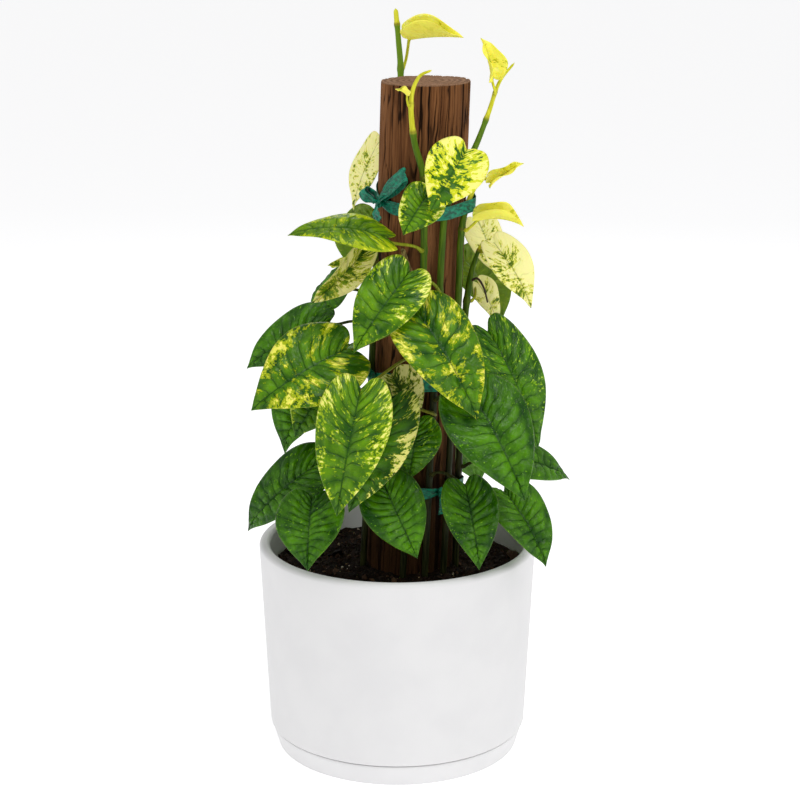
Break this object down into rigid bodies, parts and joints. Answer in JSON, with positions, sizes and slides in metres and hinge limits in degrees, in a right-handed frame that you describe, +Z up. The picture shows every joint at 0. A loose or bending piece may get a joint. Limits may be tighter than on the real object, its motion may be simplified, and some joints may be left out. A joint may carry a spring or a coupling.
{
  "type": "potted pothos plant",
  "caption": "Variegated climbing pothos tied to a round wood post, growing in soil in a plain white round pot that stands on a matching saucer.",
  "frame": {"origin": "centre of the saucer's flat underside, on the surface that the pot stands on", "axes": "+Z up the pot's axis towards the top of the plant, -Y towards the front, +X to the right, the way the post leans"},
  "size_m": [0.2897, 0.2879, 0.6638],
  "materials": {
    "ceramic": "matt white glaze",
    "soil": "damp, coarse potting mix with bark",
    "post_wood": "rough, fibrous and grooved along its length",
    "stem": "smooth, waxy",
    "tape": "thin stretchy film, slightly shiny",
    "dry_tissue": "dry and papery",
    "leaf_pale": "young, pale yellow, waxy",
    "leaf_lime": "yellow-green with darker flecks, waxy",
    "leaf_olive": "olive green with yellow streaks and margins, waxy",
    "leaf_cream": "cream with green flecks, waxy",
    "leaf_marbled": "green and cream marbling, waxy",
    "leaf_patched": "green with yellow patches, waxy",
    "leaf_flecked": "green with fine pale flecks, waxy",
    "leaf_green": "plain deep green, quilted between the veins, glossy"
  },
  "bodies": {
    "root": {"saucer": "ceramic", "pot": "ceramic", "soil": "soil", "post": "post_wood", "vine_front": "stem", "vine_front_right": "stem", "vine_right": "stem", "vine_right_rear": "stem", "vine_left": "stem", "vine_rear_left": "stem", "vine_rear": "stem", "tie_top": "tape", "tie_middle": "tape", "tie_low": "tape", "dry_sheath": "dry_tissue", "leaf_top_flag": "leaf_pale", "leaf_top_bud": "leaf_pale", "leaf_top_right": "leaf_pale", "leaf_heart": "leaf_lime", "leaf_under_heart": "leaf_marbled", "leaf_rear_cream": "leaf_cream", "leaf_left_long": "leaf_olive", "leaf_left_curl": "leaf_cream", "leaf_left_narrow": "leaf_cream", "leaf_left_dark": "leaf_green", "leaf_marbled": "leaf_marbled", "leaf_left_patched": "leaf_patched", "leaf_left_plain": "leaf_green", "leaf_left_low_plain": "leaf_green", "leaf_left_marbled": "leaf_marbled", "leaf_big_front": "leaf_marbled", "leaf_front_cream": "leaf_cream", "leaf_front_marbled": "leaf_marbled", "leaf_front_small": "leaf_flecked", "leaf_centre_patched": "leaf_patched", "leaf_right_dark": "leaf_flecked", "leaf_big_right": "leaf_green", "leaf_low_far_right": "leaf_green", "leaf_low_far_left": "leaf_green", "leaf_low_left": "leaf_green", "leaf_low_front": "leaf_green", "leaf_low_right": "leaf_green", "leaf_low_right_side": "leaf_green", "leaf_right_rolled": "leaf_pale", "leaf_right_curled": "leaf_pale", "leaf_right_cream": "leaf_cream", "leaf_right_pale": "leaf_cream", "leaf_right_olive": "leaf_cream", "leaf_back_high": "leaf_lime", "leaf_back_upper_middle": "leaf_marbled", "leaf_back_centre": "leaf_green", "leaf_back_upper_left": "leaf_marbled", "leaf_back_upper_right": "leaf_patched", "leaf_back_middle": "leaf_flecked", "leaf_back_left": "leaf_green", "leaf_back_right": "leaf_green", "leaf_back_low_left": "leaf_green", "leaf_back_low_right": "leaf_green"}
  },
  "joints": []
}
